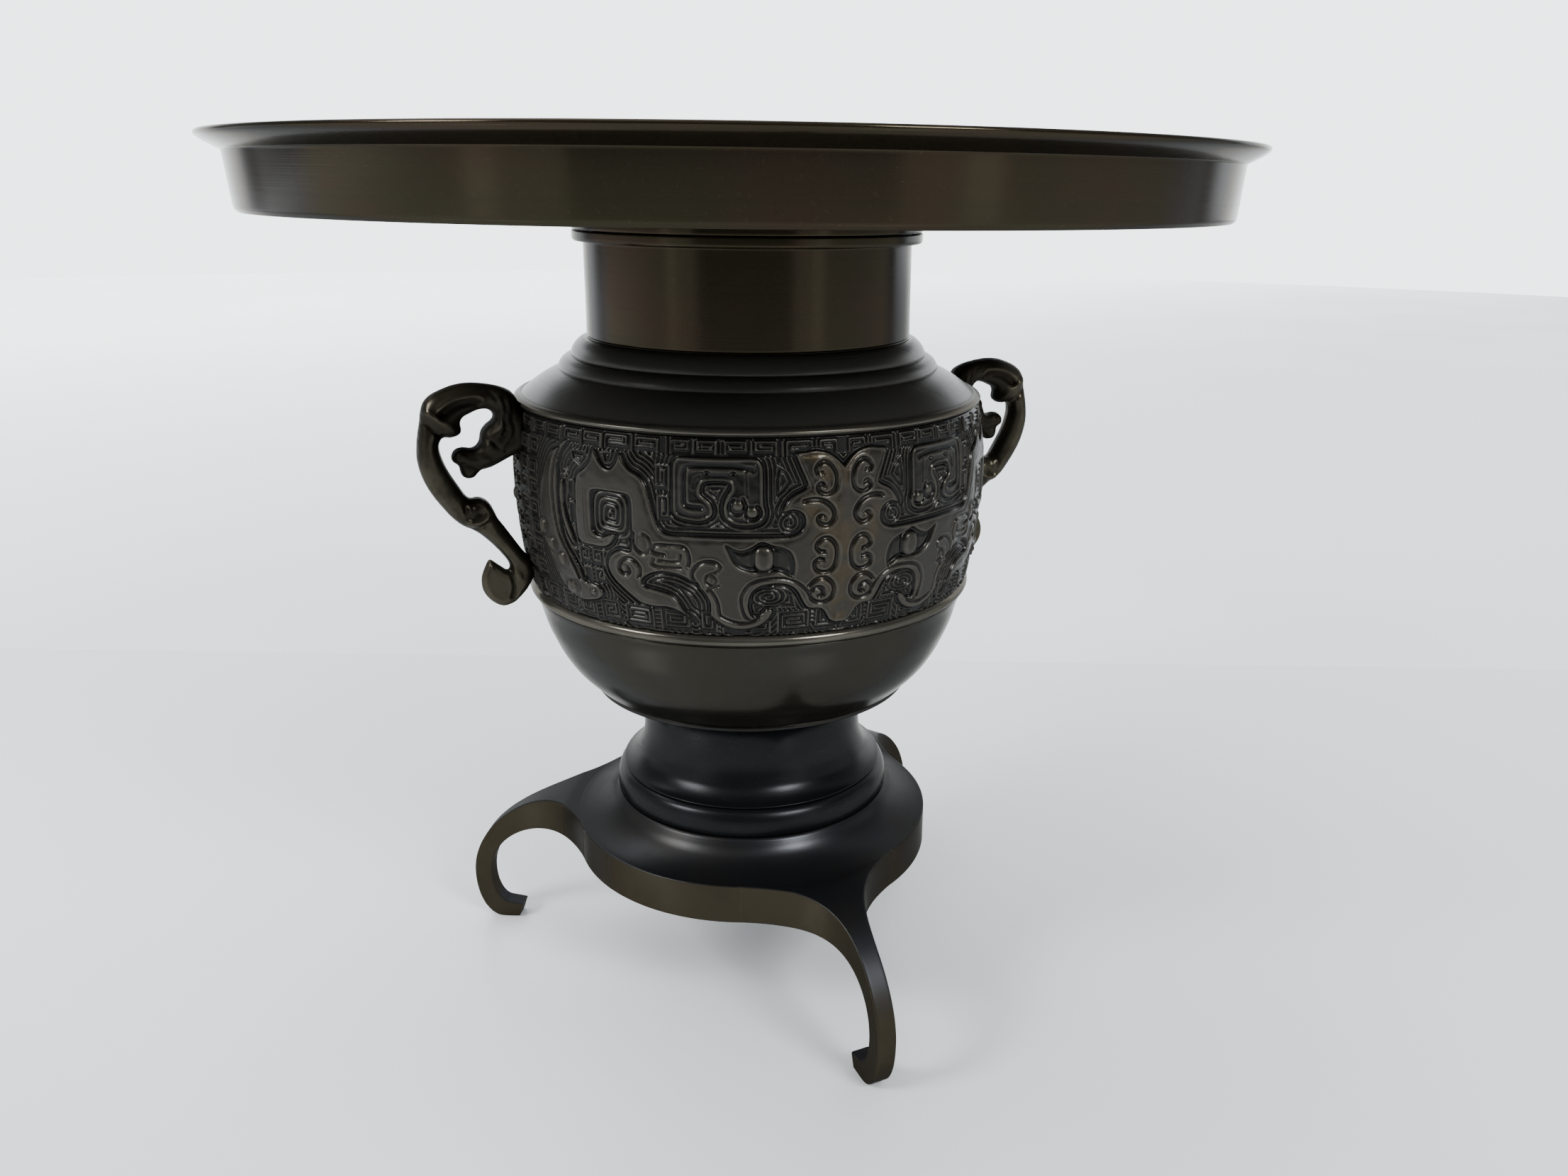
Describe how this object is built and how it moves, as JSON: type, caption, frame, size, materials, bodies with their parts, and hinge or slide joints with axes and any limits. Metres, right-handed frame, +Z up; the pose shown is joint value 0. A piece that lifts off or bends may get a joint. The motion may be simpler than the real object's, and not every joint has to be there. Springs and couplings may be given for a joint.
{
  "type": "usubata flower vase",
  "caption": "Bronze flower vase: a wide flared dish lifts off a hollow footed body with relief masks and beast handles on a tripod stand.",
  "frame": {"origin": "on the floor under the vase's upright axis", "axes": "+Z up along the axis; the masks of the relief face -Y and +Y; the handles stand on -X and +X"},
  "size_m": [0.32, 0.32, 0.2866],
  "materials": {
    "stand_bronze": "dark brown-black patinated cast bronze, satin",
    "body_bronze": "brown-black patinated cast bronze, relief rubbed olive brown",
    "handle_bronze": "dark brown patinated cast bronze, satin",
    "dish_bronze": "olive-brown patinated bronze with fine turned lines, satin"
  },
  "bodies": {
    "root": {"tripod_stand": "stand_bronze", "body": "body_bronze", "handle_left": "handle_bronze", "handle_right": "handle_bronze", "dish": "dish_bronze"}
  },
  "joints": []
}
